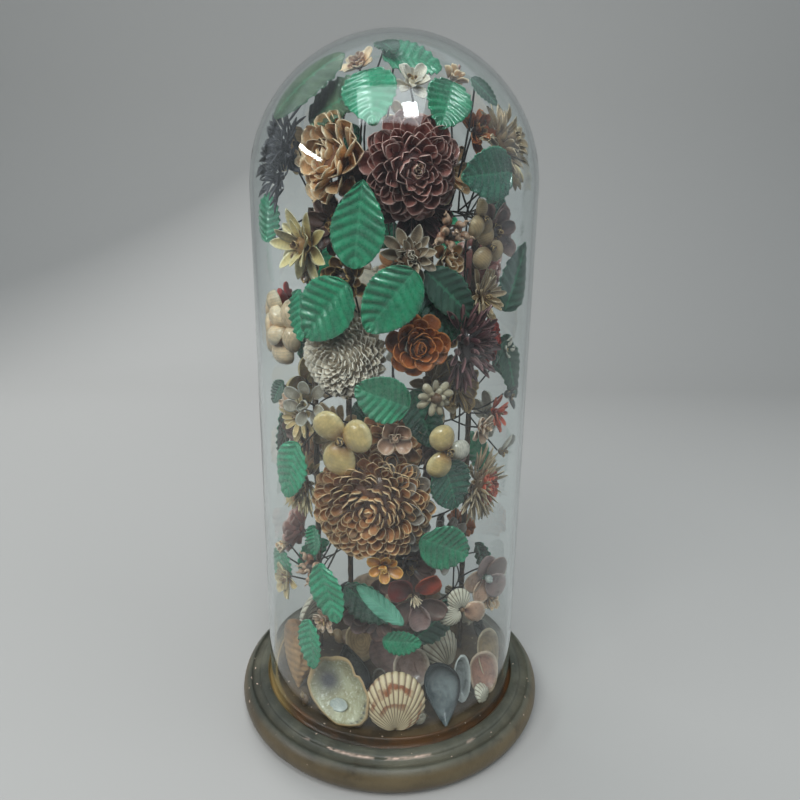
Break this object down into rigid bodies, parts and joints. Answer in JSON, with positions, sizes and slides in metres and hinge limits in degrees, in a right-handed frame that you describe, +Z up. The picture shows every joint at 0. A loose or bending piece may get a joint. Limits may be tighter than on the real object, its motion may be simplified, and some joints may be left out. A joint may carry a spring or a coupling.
{
  "type": "glass display dome",
  "caption": "Tall round glass dome on a turned, painted wooden base, over an arrangement of shell flowers, waxed leaves and whole shells.",
  "frame": {"origin": "middle of the base's underside, on the surface it stands on", "axes": "+Z up along the dome's axis, -Y towards the front of the arrangement"},
  "size_m": [0.2436, 0.245, 0.498],
  "materials": {
    "painted_wood": "dark olive-brown paint, satin, chipped to pale gesso on the shoulder",
    "dome_glass": "clear blown glass, faintly green",
    "dark_wire": "dull black",
    "upright_wood": "dull brown",
    "waxed_cloth": "green waxed cloth with pressed veins, glossy",
    "shell_tan": "varnished, lightly glossy",
    "shell_plum": "satin",
    "shell_black": "dull",
    "shell_cream": "polished",
    "shell_brown": "varnished, glossy",
    "shell_grey": "satin",
    "shell_white": "chalky",
    "shell_orange": "varnished, glossy",
    "shell_maroon": "satin",
    "shell_red": "satin",
    "shell_yellow": "polished",
    "shell_pink": "polished",
    "shell_amber": "varnished, translucent",
    "shell_nacre": "pearly",
    "shell_blue": "pearly",
    "shell_rock": "rough"
  },
  "bodies": {
    "root": {"turned_base": "painted_wood", "glass_dome": "dome_glass", "branch_wires": "dark_wire", "upright_right": "upright_wood", "upright_left": "upright_wood", "upright_back_right": "upright_wood", "upright_back_left": "upright_wood", "crown_bloom_left": "shell_cream", "crown_bloom_right": "shell_pink", "tan_rose": "shell_tan", "plum_dahlia": "shell_plum", "black_aster": "shell_black", "tan_aster": "shell_tan", "yellow_daisy": "shell_yellow", "brown_cup_flower": "shell_brown", "grey_daisy": "shell_grey", "olive_clam_flower": "shell_grey", "white_pompon": "shell_white", "orange_rose": "shell_orange", "maroon_dahlia": "shell_maroon", "red_rose": "shell_red", "cream_clam_flower": "shell_cream", "jingle_flower": "shell_grey", "yellow_clam_flower": "shell_yellow", "pink_cup_flower": "shell_pink", "white_clam_flower": "shell_cream", "beige_daisy": "shell_grey", "brown_chrysanthemum": "shell_brown", "amber_flower": "shell_amber", "fringe_flower": "shell_tan", "beige_aster": "shell_tan", "red_petal_flower": "shell_red", "cockle_flower": "shell_white", "disc_flower": "shell_pink", "back_rose_upper": "shell_tan", "back_dahlia_right": "shell_plum", "back_pompon": "shell_white", "back_clam_flower": "shell_yellow", "back_daisy": "shell_grey", "back_chrysanthemum": "shell_brown", "rock_shell": "shell_rock", "ormer": "shell_nacre", "striped_cockle": "shell_cream", "mussel_shell": "shell_blue", "white_cockle": "shell_white", "cup_shell": "shell_pink", "pink_cup_shell": "shell_pink", "leaf_crown": "waxed_cloth", "leaf_top_left": "waxed_cloth", "leaf_top_right": "waxed_cloth", "leaf_round_right": "waxed_cloth", "leaf_centre": "waxed_cloth", "leaf_mid_left": "waxed_cloth", "leaf_mid": "waxed_cloth", "leaf_lower_mid": "waxed_cloth", "leaf_left_low": "waxed_cloth", "leaf_right_low": "waxed_cloth", "leaf_right_lower": "waxed_cloth", "leaf_low_left": "waxed_cloth", "leaf_slant": "waxed_cloth"}
  },
  "joints": []
}
